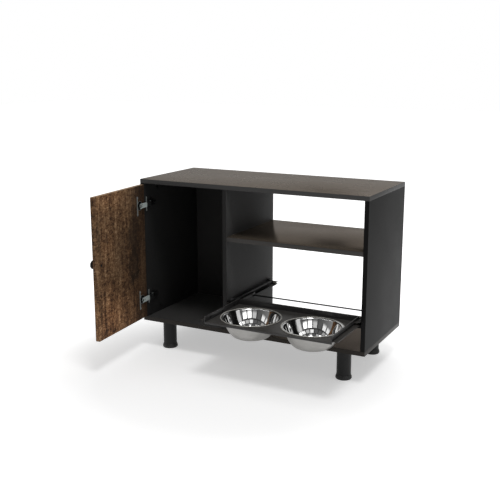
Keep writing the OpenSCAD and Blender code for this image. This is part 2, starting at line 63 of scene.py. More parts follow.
# ---------------------------------------------------------------- material helpers
class Nodes:
    def __init__(self, name):
        self.mat = bpy.data.materials.new(name)
        self.mat.use_nodes = True
        self.t = self.mat.node_tree
        self.bsdf = self.t.nodes["Principled BSDF"]
        self.co = self.t.nodes.new("ShaderNodeTexCoord").outputs["Object"]

    def link(self, a, b):
        self.t.links.new(a, b)
        return b

    def new(self, kind, **values):
        n = self.t.nodes.new(kind)
        for k, v in values.items():
            if k in n.inputs:
                n.inputs[k].default_value = v
            else:
                setattr(n, k, v)
        return n

    def mapping(self, scale=(1, 1, 1), rot=(0, 0, 0), loc=(0, 0, 0), source=None):
        n = self.new("ShaderNodeMapping")
        n.inputs["Scale"].default_value = scale
        n.inputs["Rotation"].default_value = rot
        n.inputs["Location"].default_value = loc
        self.link(source or self.co, n.inputs["Vector"])
        return n.outputs["Vector"]

    def noise(self, vec, scale, detail=3.0, rough=0.55, distortion=0.0):
        n = self.new("ShaderNodeTexNoise", Scale=scale, Detail=detail, Roughness=rough, Distortion=distortion)
        self.link(vec, n.inputs["Vector"])
        return n.outputs["Fac"]

    def ramp(self, fac, stops, kind="LINEAR"):
        n = self.new("ShaderNodeValToRGB")
        n.color_ramp.interpolation = kind
        e = n.color_ramp.elements
        while len(e) < len(stops):
            e.new(0.5)
        for el, (p, c) in zip(e, stops):
            el.position = p
            el.color = (c, c, c, 1) if isinstance(c, (int, float)) else (*c, 1)
        self.link(fac, n.inputs["Fac"])
        return n.outputs["Color"]

    def math(self, op, a, b=None, c=None, clamp=False):
        n = self.new("ShaderNodeMath", operation=op, use_clamp=clamp)
        for i, v in enumerate((a, b, c)):
            if v is None:
                continue
            if isinstance(v, (int, float)):
                n.inputs[i].default_value = v
            else:
                self.link(v, n.inputs[i])
        return n.outputs[0]

    def mix(self, fac, a, b, blend="MIX"):
        n = self.new("ShaderNodeMix", data_type="RGBA", blend_type=blend)
        for i, v in ((0, fac), (6, a), (7, b)):
            if isinstance(v, (int, float)):
                n.inputs[i].default_value = v
            elif isinstance(v, tuple):
                n.inputs[i].default_value = (*v, 1)
            else:
                self.link(v, n.inputs[i])
        return n.outputs[2]

    def bump(self, height, strength, distance):
        n = self.new("ShaderNodeBump", Strength=strength, Distance=distance)
        self.link(height, n.inputs["Height"])
        self.link(n.outputs["Normal"], self.bsdf.inputs["Normal"])

    def put(self, color=None, rough=None, metallic=0.0, specular=0.5, coat=0.0, coat_rough=0.1):
        b = self.bsdf.inputs
        for key, v in (("Base Color", color), ("Roughness", rough)):
            if v is None:
                continue
            if isinstance(v, tuple):
                b[key].default_value = (*v, 1)
            elif isinstance(v, (int, float)):
                b[key].default_value = v
            else:
                self.link(v, b[key])
        b["Metallic"].default_value = metallic
        b["Specular IOR Level"].default_value = specular
        b["Coat Weight"].default_value = coat
        b["Coat Roughness"].default_value = coat_rough
        return self.mat


def laminate(name, dark, light, rough=0.5, specular=0.5, edge=None, dim=None, front=None, sheen=None):
    """matt board covering with a fine leathery pore and faint cloudy patches; edge is a darker colour painted on the
    upright faces (with sheen, on the under faces too) as painted shade below the lit top;
    dim is (limit, colour): left of the limit the covering is multiplied by the colour, as painted shade inside the
    closed cupboard;
    front multiplies the faces that look to the front and the back, as painted shade; sheen is (strength, tint) of the
    brown lustre"""
    n = Nodes(name)
    fine = n.noise(n.co, 900, 2.0, 0.6)
    mid = n.noise(n.co, 240, 3.0, 0.6)
    cloud = n.noise(n.co, 9, 3.0, 0.5)
    f = n.math("ADD", n.math("MULTIPLY", fine, 0.5), n.math("MULTIPLY", mid, 0.3))
    f = n.math("ADD", f, n.math("MULTIPLY", cloud, 0.2))
    color = n.ramp(f, [(0.34, dark), (0.66, light)])
    # painted shade: left of the limit the covering is darkened and cooled, for the bottom board inside the closed
    # cupboard
    if dim:
        place = n.new("ShaderNodeSeparateXYZ")
        n.link(n.co, place.inputs["Vector"])
        left = n.math("LESS_THAN", place.outputs["X"], dim[0])
        color = n.mix(left, color, n.mix(1.0, color, dim[1], "MULTIPLY"))
    # painted shade: faces that look to the front or the back are multiplied by front, darker than the side faces
    # because less light falls on them
    if front:
        ahead = n.new("ShaderNodeSeparateXYZ")
        facing = n.new("ShaderNodeTexCoord")
        n.link(facing.outputs["Normal"], ahead.inputs["Vector"])
        turned = n.ramp(n.math("ABSOLUTE", ahead.outputs["Y"]), [(0.55, 0.0), (0.8, 1.0)])
        color = n.mix(turned, color, n.mix(1.0, color, (front, front, front), "MULTIPLY"))
    if edge:
        # painted shade: faces that look forward, backward or sideways (on the lustre boards also those that look down)
        # take the darker edge colour in place of the lit top's colour
        split = n.new("ShaderNodeSeparateXYZ")
        geo = n.new("ShaderNodeTexCoord")
        n.link(geo.outputs["Normal"], split.inputs["Vector"])
        band = n.ramp(n.math("ABSOLUTE", split.outputs["Z"]) if not sheen else split.outputs["Z"], [(0.45, 1.0), (0.75, 0.0)])
        color = n.mix(band, color, edge)
    r = n.math("MULTIPLY_ADD", cloud, 0.14, rough - 0.07)
    h = n.math("ADD", n.math("MULTIPLY", mid, 0.6), n.math("MULTIPLY", fine, 0.4))
    n.bump(h, 0.08 if sheen and not dim else 0.25, 0.0004)
    if sheen:
        n.bsdf.inputs["Specular Tint"].default_value = (*sheen[1], 1)
        done = n.put(color, r, specular=specular)
        above = n.ramp(split.outputs["Z"], [(0.45, 0.0), (0.75, 1.0)])
        strength = n.math("MULTIPLY", above, sheen[0])
        # left of the limit the lustre is taken away as well, keeping the painted shade dark
        if dim:
            strength = n.math("MULTIPLY", strength, n.math("SUBTRACT", 1.0, left))
        n.link(strength, n.bsdf.inputs["Metallic"])
        return done
    return n.put(color, r, specular=specular)


def coated(name, dark, light, rough=0.38, metallic=0.0, specular=0.5, grain=1400, edge=None):
    """powder coat: fine orange-peel with a soft sheen; edge is the darker colour painted on the upright faces as
    painted shade
    """
    n = Nodes(name)
    peel = n.noise(n.co, grain, 1.0, 0.4)
    cloud = n.noise(n.co, 16, 2.0, 0.5)
    color = n.ramp(n.math("ADD", n.math("MULTIPLY", peel, 0.4), n.math("MULTIPLY", cloud, 0.6)), [(0.35, dark), (0.65, light)])
    # painted shade: upright faces take the darker colour
    if edge:
        geo = n.new("ShaderNodeTexCoord")
        split = n.new("ShaderNodeSeparateXYZ")
        n.link(geo.outputs["Normal"], split.inputs["Vector"])
        color = n.mix(n.ramp(n.math("ABSOLUTE", split.outputs["Z"]), [(0.80, 1.0), (0.97, 0.0)]), color, edge)
    r = n.math("MULTIPLY_ADD", cloud, 0.12, rough - 0.06)
    n.bump(peel, 0.18, 0.00025)
    return n.put(color, r, metallic=metallic, specular=specular)


def brushed(name, dark, light, rough=0.28, along="y", strength=0.12, metallic=1.0, shade_past=None):
    """plated or brushed steel with fine lines along one axis; shade_past is (turn, axis, limit): beyond it the plate
    is painted near-black as painted shade
    """
    n = Nodes(name)
    s = {"x": (25, 2600, 2600), "y": (2600, 25, 2600), "z": (2600, 2600, 25)}[along]
    line = n.noise(n.mapping(scale=s), 1.0, 2.0, 0.6)
    cloud = n.noise(n.co, 60, 3.0, 0.6)
    f = n.math("ADD", n.math("MULTIPLY", line, 0.5), n.math("MULTIPLY", cloud, 0.5))
    color = n.ramp(f, [(0.3, dark), (0.7, light)])
    r = n.math("MULTIPLY_ADD", f, 0.22, rough - 0.11)
    n.bump(line, strength, 0.0001)
    # painted shade: past the limit the colour is near-black, for the parts that sit in the shade inside the cabinet
    if shade_past:
        turned = n.new("ShaderNodeVectorRotate", rotation_type="Z_AXIS")
        n.link(n.co, turned.inputs["Vector"])
        turned.inputs["Angle"].default_value = math.radians(shade_past[0])
        part = n.new("ShaderNodeSeparateXYZ")
        n.link(turned.outputs["Vector"], part.inputs["Vector"])
        past = n.math("GREATER_THAN", n.math("MULTIPLY", part.outputs["Y"], shade_past[1]), shade_past[1] * shade_past[2])
        color = n.mix(past, color, (0.020, 0.021, 0.021))
    return n.put(color, r, metallic=metallic)


def plain(name, dark, light, rough, scale=500, bump=0.2, metallic=0.0):
    n = Nodes(name)
    f = n.noise(n.co, scale, 3.0, 0.6)
    n.bump(f, bump, 0.0003)
    return n.put(n.ramp(f, [(0.3, dark), (0.7, light)]), n.math("MULTIPLY_ADD", f, 0.15, rough - 0.07), metallic=metallic)


def rustic_wood(name):
    """brown weathered boards: rough-sawn face with upright grain, a dark knotty band, paler patches, and painted shade
    darkening the hinge side
    """
    n = Nodes(name)
    # turn the open door's face into the local X-Z plane: X from the hinge side, Z up from the cabinet's underside
    flat = n.new("ShaderNodeVectorRotate", rotation_type="Z_AXIS")
    n.link(n.co, flat.inputs["Vector"])
    flat.inputs["Angle"].default_value = math.radians(85.4)
    co = n.mapping(loc=(0.02445, 0.0, -0.107), source=flat.outputs["Vector"])
    # slow warp so that the streaks wander
    warp = n.new("ShaderNodeTexNoise", Scale=4.0, Detail=3.0)
    n.link(co, warp.inputs["Vector"])
    wv = n.new("ShaderNodeVectorMath", operation="MULTIPLY_ADD")
    n.link(warp.outputs["Color"], wv.inputs[0])
    wv.inputs[1].default_value = (0.045, 0.0, 0.09)
    n.link(co, wv.inputs[2])
    v = wv.outputs["Vector"]
    # rough edge for the placed marks
    jag = n.new("ShaderNodeTexNoise", Scale=38.0, Detail=5.0, Roughness=0.75)
    n.link(n.mapping(scale=(1.4, 1.4, 0.6), source=co), jag.inputs["Vector"])
    jv = n.new("ShaderNodeVectorMath", operation="MULTIPLY_ADD")
    n.link(jag.outputs["Color"], jv.inputs[0])
    jv.inputs[1].default_value = (0.075, 0.0, 0.12)
    shift = n.new("ShaderNodeVectorMath", operation="SUBTRACT")
    n.link(co, shift.inputs[0])
    shift.inputs[1].default_value = (0.0375, 0.0, 0.06)
    n.link(shift.outputs["Vector"], jv.inputs[2])
    jagged = jv.outputs["Vector"]

    def mark(x, z, rx, rz, inner=0.55, ring=False):
        """soft-edged patch at x, z in millimetres; a ring is dark on its rim only"""
        part = n.new("ShaderNodeSeparateXYZ")
        n.link(jagged, part.inputs["Vector"])
        dx = n.math("MULTIPLY", n.math("SUBTRACT", part.outputs["X"], x / 1000), 1000 / rx)
        dz = n.math("MULTIPLY", n.math("SUBTRACT", part.outputs["Z"], z / 1000), 1000 / rz)
        d = n.math("SQRT", n.math("ADD", n.math("MULTIPLY", dx, dx), n.math("MULTIPLY", dz, dz)))
        if ring:
            return n.ramp(d, [(0.45, 0.0), (0.72, 1.0), (0.88, 1.0), (1.0, 0.0)])
        return n.ramp(d, [(inner, 1.0), (1.0, 0.0)])

    broad = n.noise(n.mapping(scale=(16, 16, 2.4), source=v), 1.0, 4.0, 0.6)
    streak = n.noise(n.mapping(scale=(85, 85, 6.5), source=v), 1.0, 5.0, 0.65, 0.6)
    fibre = n.noise(n.mapping(scale=(260, 260, 34), source=v), 1.0, 4.0, 0.75)
    mottle = n.noise(n.mapping(scale=(62, 62, 84), source=co), 1.0, 3.0, 0.8, 0.3)
    speck = n.noise(n.mapping(scale=(120, 120, 190), source=co), 1.0, 2.0, 0.8)
    f = n.math("MULTIPLY", broad, 0.18)
    f = n.math("ADD", f, n.math("MULTIPLY", streak, 0.22))
    f = n.math("ADD", f, n.math("MULTIPLY", fibre, 0.12))
    f = n.math("ADD", f, n.math("MULTIPLY", mottle, 0.28))
    f = n.math("ADD", f, n.math("MULTIPLY", speck, 0.20))
    color = n.ramp(f, [(0.425, (0.020, 0.010, 0.005)), (0.466, (0.075, 0.038, 0.019)), (0.50, (0.135, 0.071, 0.034)),
                       (0.535, (0.218, 0.124, 0.062)), (0.59, (0.38, 0.24, 0.135))])
    # paler, yellower patches, mostly on the half away from the hinges
    for x, z, rx, rz, more in ((225, 50, 165, 120, 1.0), (290, 110, 90, 130, 0.75), (262, 530, 125, 75, 0.8), (128, 292, 24, 26, 0.6), (282, 350, 50, 70, 0.35)):
        color = n.mix(n.math("MULTIPLY", mark(x, z, rx, rz, 0.4), more), color, n.mix(1.0, color, (1.62, 1.55, 1.50), "MULTIPLY"))
    # painted shade: darker and redder towards the hinge side, where the cabinet shades the open door
    part = n.new("ShaderNodeSeparateXYZ")
    n.link(co, part.inputs["Vector"])
    hinge_shade = n.ramp(n.math("MULTIPLY", part.outputs["X"], 3.0), [(0.08, 1.0), (0.24, 0.62), (0.45, 0.18), (0.85, 0.0)])
    color = n.mix(n.math("MULTIPLY", hinge_shade, 0.80), color, (0.034, 0.019, 0.0115))
    # dark weathered band with a knot, and smaller dark marks
    for x, z, rx, rz, depth in ((98, 292, 46, 165, 0.66), (128, 345, 30, 56, 0.5), (128, 190, 32, 40, 0.5),
                                (190, 310, 62, 120, 0.34), (92, 400, 52, 90, 0.42), (66, 500, 46, 60, 0.40), (74, 66, 26, 70, 0.35), (283, 384, 12, 20, 0.6),
                                (330, 392, 14, 90, 0.5), (330, 110, 12, 70, 0.5), (230, 232, 60, 26, 0.20)):
        color = n.mix(n.math("MULTIPLY", mark(x, z, rx, rz, 0.35), depth), color, (0.026, 0.0175, 0.0125))
    color = n.mix(n.math("MULTIPLY", mark(104, 240, 36, 62, ring=True), 0.6), color, (0.012, 0.009, 0.007))
    # pale chalky flecks and upright scratches
    fleck = n.noise(n.mapping(scale=(150, 150, 120), source=co), 1.0, 4.0, 0.8)
    color = n.mix(n.math("MULTIPLY", n.ramp(fleck, [(0.62, 0.0), (0.70, 1.0)]), 0.40), color, (0.30, 0.24, 0.18))
    scratch = n.noise(n.mapping(scale=(190, 190, 5), loc=(7.0, 0, 0), source=co), 1.0, 2.0, 0.6)
    color = n.mix(n.math("MULTIPLY", n.ramp(scratch, [(0.66, 0.0), (0.72, 1.0)]), 0.35), color, (0.30, 0.22, 0.15))
    # lighter colour on faces that look up: the door's top edge
    geo = n.new("ShaderNodeTexCoord")
    up = n.new("ShaderNodeSeparateXYZ")
    n.link(geo.outputs["Normal"], up.inputs["Vector"])
    color = n.mix(n.ramp(up.outputs["Z"], [(0.5, 0.0), (0.8, 0.6)]), color, (0.42, 0.29, 0.18))
    h = n.math("ADD", n.math("MULTIPLY", streak, 0.3), n.math("MULTIPLY", fibre, 0.25))
    h = n.math("ADD", h, n.math("MULTIPLY", mottle, 0.45))
    n.bump(h, 0.6, 0.0012)
    rough = n.math("MULTIPLY_ADD", f, -0.3, 0.85)
    return n.put(color, rough, specular=0.16)


M = {}
LUSTRE = (0.40, (0.82, 0.65, 0.50))
# board_top: its third colour is the painted shade of the upright and under faces
M["board_top"] = laminate("board_top", (0.100, 0.082, 0.064), (0.146, 0.119, 0.094), 0.28, 0.10, (0.062, 0.062, 0.062),
                          sheen=(0.14, (0.84, 0.70, 0.57)))
# board_shelf: the shelf is the same board as the top, given a lighter copy as painted light against the shade under
# the top; its third colour is the painted shade of its upright and under faces
M["board_shelf"] = laminate("board_shelf", (0.118, 0.095, 0.072), (0.178, 0.144, 0.110), 0.22, 0.26, (0.052, 0.052, 0.052),
                            sheen=(0.46, (0.84, 0.70, 0.57)))
# board_low: the bottom board's copy of the top's board, with a much darker painted shade on its upright and under
# faces, which sit in the shade of the tray and bowls, and painted shade inside the cupboard left of the divider
M["board_low"] = laminate("board_low", (0.082, 0.072, 0.064), (0.130, 0.113, 0.100), 0.32, 0.22, (0.022, 0.022, 0.022), (-0.09, (0.62, 0.70, 0.78)),
                          sheen=LUSTRE)
# board_side: its front and back faces take front as painted shade
M["board_side"] = laminate("board_side", (0.0185, 0.0185, 0.0185), (0.0310, 0.0308, 0.0304), 0.50, 0.10, front=0.25)
# board_inner: the divider is the same board as the sides, given a lighter copy as painted light against the shade
# inside the cabinet; its front and back faces are darkened as painted shade
M["board_inner"] = laminate("board_inner", (0.0450, 0.0450, 0.0450), (0.0700, 0.0697, 0.0690), 0.50, 0.10, front=0.38)
M["hardboard"] = laminate("hardboard", (0.010, 0.010, 0.010), (0.020, 0.019, 0.018), 0.6)
M["beech"] = plain("beech", (0.50, 0.34, 0.19), (0.66, 0.48, 0.29), 0.55, 160)
M["reclaimed_oak"] = rustic_wood("reclaimed_oak")
M["black_leg"] = coated("black_leg", (0.007, 0.007, 0.007), (0.012, 0.012, 0.012), 0.42, specular=0.3)
M["black_plastic"] = plain("black_plastic", (0.010, 0.010, 0.010), (0.020, 0.020, 0.020), 0.5, 700)
M["felt"] = plain("felt", (0.04, 0.04, 0.04), (0.10, 0.10, 0.10), 0.95, 1500, 0.8)
M["grey_rubber"] = plain("grey_rubber", (0.035, 0.035, 0.035), (0.060, 0.060, 0.060), 0.6, 500)
M["black_metal"] = coated("black_metal", (0.008, 0.008, 0.008), (0.016, 0.016, 0.016), 0.30)
M["black_steel"] = coated("black_steel", (0.005, 0.005, 0.005), (0.010, 0.010, 0.010), 0.50, specular=0.18)
# runner and tray coats: their upright faces carry a darker painted shade
M["runner_ledge"] = coated("runner_ledge", (0.040, 0.037, 0.034), (0.056, 0.052, 0.048), 0.46, specular=0.3, edge=(0.010, 0.010, 0.010))
M["tray_steel"] = coated("tray_steel", (0.050, 0.047, 0.044), (0.072, 0.068, 0.064), 0.34, specular=0.50, edge=(0.026, 0.025, 0.025))
M["zinc_steel"] = brushed("zinc_steel", (0.45, 0.46, 0.46), (0.66, 0.67, 0.66), 0.34, metallic=0.8)
M["nickel_steel"] = brushed("nickel_steel", (0.50, 0.56, 0.55), (0.68, 0.74, 0.73), 0.42, "z", metallic=0.45)
# hinge arm, plate and cup: copies of one nickel, the arm lightest and the cup darkest as painted light and shade, each
# near-black past its line as painted shade inside the cabinet
M["nickel_arm"] = brushed("nickel_arm", (0.62, 0.70, 0.68), (0.80, 0.88, 0.86), 0.42, "y", metallic=0.3, shade_past=(0, 1, -0.026))
M["nickel_plate"] = brushed("nickel_plate", (0.42, 0.46, 0.45), (0.58, 0.62, 0.61), 0.40, "z", metallic=0.5, shade_past=(0, 1, -0.0066))
M["nickel_cup"] = brushed("nickel_cup", (0.32, 0.35, 0.345), (0.46, 0.49, 0.48), 0.42, "z", metallic=0.5, shade_past=(85.4, -1, -0.4316))
# runner end clips: pale plated colour, made paler still as painted light against the shade on the end plate, and
# near-black ahead of the plate, along the web, as painted shade
M["clip_steel"] = brushed("clip_steel", (0.74, 0.73, 0.66), (0.90, 0.88, 0.80), 0.5, "y", metallic=0.15, shade_past=(0, -1, 0.3573))
M["ball_steel"] = brushed("ball_steel", (0.7, 0.7, 0.7), (0.8, 0.8, 0.8), 0.12)
M["brass"] = brushed("brass", (0.50, 0.36, 0.14), (0.68, 0.50, 0.22), 0.28)


def mirror_steel(name):
    """polished stainless steel with the faintest spun rings and fingerprints"""
    n = Nodes(name)
    smear = n.noise(n.co, 38, 4.0, 0.65)
    fine = n.noise(n.mapping(scale=(30, 30, 2400)), 1.0, 2.0, 0.5)
    r = n.math("MULTIPLY_ADD", n.ramp(smear, [(0.45, 0.0), (0.75, 1.0)]), 0.05, 0.035)
    color = n.ramp(smear, [(0.3, (0.86, 0.86, 0.86)), (0.7, (0.93, 0.93, 0.92))])
    n.bump(fine, 0.04, 0.0001)
    return n.put(color, r, metallic=1.0)


M["mirror_steel"] = mirror_steel("mirror_steel")


def satin_steel(name, dark, light, rough):
    """brushed outside and rim of a pressed bowl, with fine rings round its axis"""
    n = Nodes(name)
    lines = n.noise(n.mapping(scale=(18, 18, 1900)), 1.0, 3.0, 0.6)
    cloud = n.noise(n.co, 24, 3.0, 0.6)
    f = n.math("ADD", n.math("MULTIPLY", lines, 0.45), n.math("MULTIPLY", cloud, 0.55))
    n.bump(lines, 0.12, 0.0001)
    return n.put(n.ramp(f, [(0.3, dark), (0.7, light)]), n.math("MULTIPLY_ADD", f, 0.2, rough - 0.1), metallic=1.0)


M["satin_steel"] = satin_steel("satin_steel", (0.36, 0.355, 0.34), (0.50, 0.49, 0.475), 0.33)
M["rim_steel"] = brushed("rim_steel", (0.56, 0.55, 0.51), (0.72, 0.71, 0.66), 0.42, metallic=0.45)

slots = {s["node"]: s["material_slot"] for s in frame["record"]["subparts"]}
# hinge arms, plates and cups take the nickel copies with painted light and shade; the clips take the clip copy with
# painted light and shade
special = {"hinge_arms": "nickel_arm", "hinge_plates": "nickel_plate", "hinge_cups": "nickel_cup", "knob_screw": "black_metal",
           "cam_locks": "black_metal", "runner_end_clips": "clip_steel", "left_tray_runner": "runner_ledge",
           "right_tray_runner": "runner_ledge"}
for name, obj in frame["nodes"].items():
    m = M[special.get(name, slots[name])]
    if len(obj.material_slots) == 0:
        obj.data.materials.append(m)
    for s in obj.material_slots:
        s.material = m

# ---------------------------------------------------------------- detailed pieces
# the cabinet's own lines in millimetres: X from its left side, Y from its front, Z from its underside
org = Vector((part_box("top_panel")[0].x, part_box("top_panel")[0].y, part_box("bottom_panel")[0].z))
to_frame = Matrix.Translation(org) @ Matrix.Diagonal((0.001, 0.001, 0.001, 1.0))
swing = Matrix.Translation((7.3, 4.7, 0)) @ Matrix.Rotation(math.radians(-85.4), 4, "Z") @ Matrix.Translation((-7.3, -4.7, 0))


def finish_piece(name, bm, body, slot, nodes=(), move=None, angle=35.0):
    """turns a bmesh in cabinet millimetres into a smooth-shaded piece that rides on a body"""
    bmesh.ops.recalc_face_normals(bm, faces=bm.faces)
    if move is not None:
        bm.transform(move)
    bm.transform(to_frame)
    mesh = bpy.data.meshes.new(name)
    bm.to_mesh(mesh)
    bm.free()
    mesh.materials.append(M[slot])
    for poly in mesh.polygons:
        poly.use_smooth = True
    mesh.set_sharp_from_angle(angle=math.radians(angle))
    obj = bpy.data.objects.new(name, mesh)
    bpy.context.scene.collection.objects.link(obj)
    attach(obj, body)
    if nodes:
        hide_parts(*nodes)
    return obj


def add_box(bm, lo, hi):
    r = bmesh.ops.create_cube(bm, size=1.0)
    size = [hi[i] - lo[i] for i in range(3)]
    mid = [(hi[i] + lo[i]) / 2 for i in range(3)]
    bmesh.ops.transform(bm, matrix=Matrix.Translation(mid) @ Matrix.Diagonal((*size, 1.0)), verts=r["verts"])


def add_disc(bm, centre, axis, r, depth, n=48):
    """a closed cylinder that starts at centre and runs along axis"""
    q = Vector(axis).to_track_quat("Z", "Y").to_matrix().to_4x4()
    c = Vector(centre) + Vector(axis) * (depth / 2)
    bmesh.ops.create_cone(bm, cap_ends=True, segments=n, radius1=r, radius2=r, depth=depth, matrix=Matrix.Translation(c) @ q)


def temp_object(bm):
    bmesh.ops.recalc_face_normals(bm, faces=bm.faces)
    mesh = bpy.data.meshes.new("temp")
    bm.to_mesh(mesh)
    bm.free()
    obj = bpy.data.objects.new("temp", mesh)
    bpy.context.scene.collection.objects.link(obj)
    return obj


def cut(bm, tools, op="DIFFERENCE"):
    """bm with each tool taken away from it or joined to it"""
    base = temp_object(bm)
    for tool in tools:
        other = temp_object(tool)
        mod = base.modifiers.new("cut", "BOOLEAN")
        mod.operation = op
        mod.solver = "EXACT"
        mod.object = other
        done = bpy.data.meshes.new_from_object(base.evaluated_get(bpy.context.evaluated_depsgraph_get()))
        base.modifiers.clear()
        base.data = done
        bpy.data.objects.remove(other)
    out = bmesh.new()
    out.from_mesh(base.data)
    bpy.data.objects.remove(base)
    bmesh.ops.remove_doubles(out, verts=out.verts, dist=0.001)
    bmesh.ops.dissolve_limit(out, angle_limit=math.radians(0.5), verts=out.verts, edges=out.edges)
    return out


def soften(bm, width, longer=12.0, segments=2):
    """rounds every long sharp edge"""
    edges = [e for e in bm.edges if len(e.link_faces) == 2 and e.calc_length() > longer
             and e.calc_face_angle(0.0) > math.radians(40)]
    bmesh.ops.bevel(bm, geom=edges, offset=width, segments=segments, profile=0.6, affect="EDGES", clamp_overlap=True)


def boxes(*pairs):
    out = []
    for lo, hi in pairs:
        b = bmesh.new()
        add_box(b, lo, hi)
        out.append(b)
    return out


def discs(items):
    out = []
    for centre, axis, r, depth in items:
        b = bmesh.new()
        add_disc(b, centre, axis, r, depth)
        out.append(b)
    return out


def board(name, lo, hi, slot, holes=(), width=0.5):
    bm = bmesh.new()
    add_box(bm, lo, hi)
    tools = boxes(((8, 378, 8), (359, 390, 541))) + discs(holes)
    bm = cut(bm, tools)
    soften(bm, width)
    return finish_piece(name, bm, "cabinet", slot, (name,))


cam_ys, cam_zs = (92, 291), (40, 509)
plate_holes = [((20, 40.5, z + k), (-1, 0, 0), 1.8, 16) for z in (94.5, 454.5) for k in (-14, 14)]
runner_ys = (45, 186, 318)
board("top_panel", (0, 0, 533), (900, 383, 549), "board_top")
low = board("bottom_panel", (0, 0, 0), (900, 383, 16), "board_top")
# the bottom board takes its copy with the painted shade
low.data.materials[0] = M["board_low"]
board("left_side_panel", (0, 0, 16), (16, 383, 533), "board_side",
      [((16.5, y, z), (-1, 0, 0), 7.5, 12.7) for y in cam_ys for z in cam_zs] + plate_holes)
divider = board("divider_panel", (351, 0, 16), (367, 383, 533), "board_side",
      [((350.5, y, z), (1, 0, 0), 7.5, 12.7) for y in cam_ys for z in cam_zs]
      + [((370, y, 112), (-1, 0, 0), 1.9, 14) for y in runner_ys])
# the divider takes the lighter copy: painted light against the shade inside the cabinet
divider.data.materials[0] = M["board_inner"]
board("right_side_panel", (884, 0, 16), (900, 383, 533), "board_side",
      [((883.5, y, z), (1, 0, 0), 7.5, 12.7) for y in cam_ys for z in cam_zs]
      + [((880, y, 112), (1, 0, 0), 1.9, 15) for y in runner_ys])
shelf = board("shelf", (367, 0, 346), (884, 383, 362), "board_top")
# the shelf takes the lighter copy: painted light against the shade under the top
shelf.data.materials[0] = M["board_shelf"]

# door: a board with two bored cup holes
bm = bmesh.new()
add_box(bm, (17.5, 0, 19.5), (349.5, 16, 529.5))
bm = cut(bm, discs([((51.5, 17, z), (0, -1, 0), 17.5, 13.6) for z in (94.5, 454.5)]
                   + [((321.5, -1, 288), (0, 1, 0), 2.2, 18)]))
soften(bm, 0.8, segments=3)
finish_piece("door_panel", bm, "door", "reclaimed_oak", ("door_panel",), swing)


def lathe(bm, profile, centre, n=96, axis="Z"):
    """a closed or open profile of (radius, height) pairs turned about a vertical axis"""
    rings = []
    for r, z in profile:
        if r < 1e-6:
            rings.append([bm.verts.new((0, 0, z))])
        else:
            rings.append([bm.verts.new((r * math.cos(2 * math.pi * i / n), r * math.sin(2 * math.pi * i / n), z)) for i in range(n)])
    made = []
    for a, b in zip(rings, rings[1:]):
        for i in range(n):
            j = (i + 1) % n
            if len(a) == 1:
                made.append(bm.faces.new((a[0], b[i], b[j])))
            elif len(b) == 1:
                made.append(bm.faces.new((a[i], a[j], b[0])))
            else:
                made.append(bm.faces.new((a[i], a[j], b[j], b[i])))
    verts = [v for ring in rings for v in ring]
    m = Matrix.Translation(centre)
    if axis == "-Y":
        m = m @ Matrix.Rotation(math.radians(90), 4, "X")
    bmesh.ops.transform(bm, matrix=m, verts=verts)


def curve(points, steps=6):
    """smooth line through the points, as a list of (radius, height)"""
    out = []
    p = [points[0]] + list(points) + [points[-1]]
    for i in range(1, len(p) - 2):
        for k in range(steps):
            t = k / steps
            out.append(tuple(0.5 * (2 * p[i][c] + (p[i + 1][c] - p[i - 1][c]) * t
                       + (2 * p[i - 1][c] - 5 * p[i][c] + 4 * p[i + 1][c] - p[i + 2][c]) * t * t
                       + (3 * p[i][c] - p[i - 1][c] - 3 * p[i + 1][c] + p[i + 2][c]) * t ** 3) for c in (0, 1)))
    out.append(tuple(points[-1]))
    return out


# knob: a turned foot, a waist and a domed head
bm = bmesh.new()
head = curve([(5.6, 6.5), (5.9, 9.4), (8.2, 12.0), (12.0, 13.4), (14.6, 14.9), (15.45, 17.2), (14.9, 19.6), (12.4, 21.7), (8.0, 23.3), (3.0, 23.95)], 6)
lathe(bm, [(2.1, 0.0), (8.1, 0.0), (8.5, 0.4), (8.4, 1.2), (7.0, 2.6), (6.0, 4.6)] + head + [(0.0, 24.0)], (321.5, 0, 288), 72, "-Y")
finish_piece("door_knob", bm, "door", "black_metal", ("door_knob",), swing, 40)

# legs with a rolled top edge, and flared caps with a fine lip
bm = bmesh.new()
for x in (90, 810):
    for y in (44, 339):
        lathe(bm, [(4.1, -0.0), (23.6, -0.0), (24.8, -0.4), (25.4, -1.1), (25.5, -2.0), (25.5, -101.8), (4.1, -101.8)], (x, y, 0), 96)
finish_piece("legs", bm, "cabinet", "black_leg", ("legs",))
bm = bmesh.new()
for x in (90, 810):
    for y in (44, 339):
        outer = curve([(25.65, 16.6), (26.1, 15.8), (27.0, 13.6), (28.1, 10.0), (28.7, 6.6), (28.9, 4.6), (28.6, 3.0), (27.6, 2.1)], 5)
        lathe(bm, [(25.62, 5.0), (25.62, 16.5)] + outer + [(27.0, 2.0), (26.0, 2.0)], (x, y, -107), 96)
finish_piece("foot_caps", bm, "cabinet", "black_plastic", ("foot_caps",))

# tray: one folded sheet with a turned-down front lip, hemmed sides and two round holes
tray_move = Matrix.Translation((0, -200, 0))
bm = bmesh.new()
add_box(bm, (391, 0, 103.5), (860, 248, 105))
bm = cut(bm, boxes(((391, 0, 99), (860, 1.5, 104)), ((391, 0, 103.5), (393, 248, 125.5)), ((858, 0, 103.5), (860, 248, 125.5)),
                   ((391, 246, 103.5), (860, 248, 125.5)), ((392, 0, 116), (394.5, 247, 125.5)), ((856.5, 0, 116), (859, 247, 125.5))), "UNION")
tools = []
for cx in (509, 742):
    b = bmesh.new()
    add_disc(b, (cx, 120, 90), (0, 0, 1), 102.5, 30, 128)
    tools.append(b)
bm = cut(bm, tools + discs([((388, y, 112), (1, 0, 0), 2.05, 476) for y in (40, 124, 208)]))
soften(bm, 0.55, 8.0, 3)
finish_piece("feeding_tray", bm, "tray", "tray_steel", ("feeding_tray",), tray_move)


